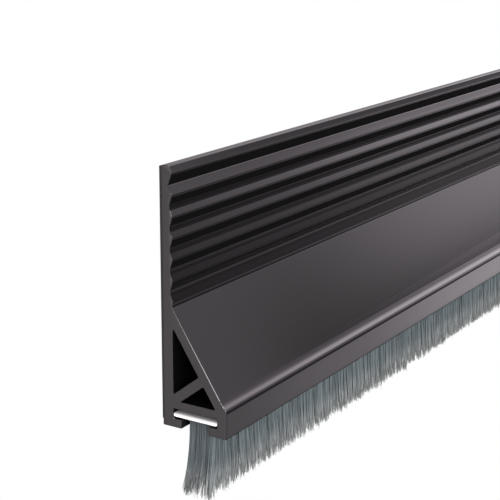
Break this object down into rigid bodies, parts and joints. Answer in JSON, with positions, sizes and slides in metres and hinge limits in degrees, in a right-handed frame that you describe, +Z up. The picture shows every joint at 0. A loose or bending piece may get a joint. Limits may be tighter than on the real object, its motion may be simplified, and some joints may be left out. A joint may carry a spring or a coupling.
{
  "type": "door sweep",
  "caption": "Self-adhesive door sweep: a ribbed rail with a hollow sloping nose holds a sliding strip of flexible bristles that seals the gap under a door.",
  "frame": {"origin": "middle of the tape's face that sticks to the door, at mid-length and halfway up the rail", "axes": "+X along the sweep, +Y into the door, +Z up; the ribs and the nose face -Y"},
  "size_m": [1, 0.0138, 0.0603],
  "materials": {
    "rail": "satin anthracite",
    "tape": "matt black foam",
    "backing": "natural, slightly glossy",
    "filament": "grey nylon filament"
  },
  "bodies": {
    "carrier": {"carrier_profile": "rail", "adhesive_tape": "tape"},
    "brush_strip": {"brush_backing": "backing", "bristle_roots": "filament"},
    "bristle_band": {"bristles": "filament"}
  },
  "joints": [
    {"name": "strip_slide", "type": "slide", "parent": "carrier", "child": "brush_strip", "axis": [-1, 0, 0], "range_m": [0, 0.95]},
    {"name": "bristle_flex", "type": "hinge", "parent": "brush_strip", "child": "bristle_band", "pos_m": [0, -0.0071, -0.0271], "axis": [1, 0, 0], "range_deg": [-50, 50], "stiffness_Nm_per_rad": 0.08}
  ]
}
